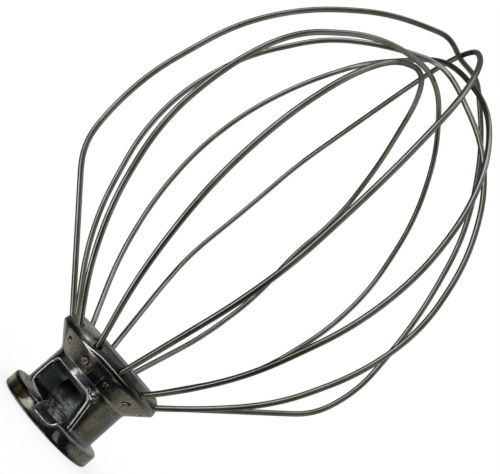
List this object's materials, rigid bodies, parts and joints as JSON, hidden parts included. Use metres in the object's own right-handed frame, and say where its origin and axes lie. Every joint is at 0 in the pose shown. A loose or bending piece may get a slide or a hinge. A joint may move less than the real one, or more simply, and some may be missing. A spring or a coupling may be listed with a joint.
{
  "type": "stand mixer wire whisk",
  "caption": "Balloon whisk for a stand mixer: bent steel wire loops staked into a cast hub with a blind shaft socket and a bayonet window for the shaft's cross pin.",
  "frame": {"origin": "centre of the hub's collar end face, where the shaft socket opens", "axes": "+Z along the hub's axis towards the tip of the cage; the bayonet window faces -Y"},
  "size_m": [0.1214, 0.1232, 0.1838],
  "materials": {
    "cast_aluminium": "burnished casting, tarnished and scratched",
    "steel_wire": "drawn wire, dulled by use"
  },
  "bodies": {
    "root": {"hub": "cast_aluminium", "wire_loop_1": "steel_wire", "wire_loop_2": "steel_wire", "wire_loop_3": "steel_wire", "wire_loop_4": "steel_wire", "wire_loop_5": "steel_wire", "wire_loop_6": "steel_wire"}
  },
  "joints": []
}
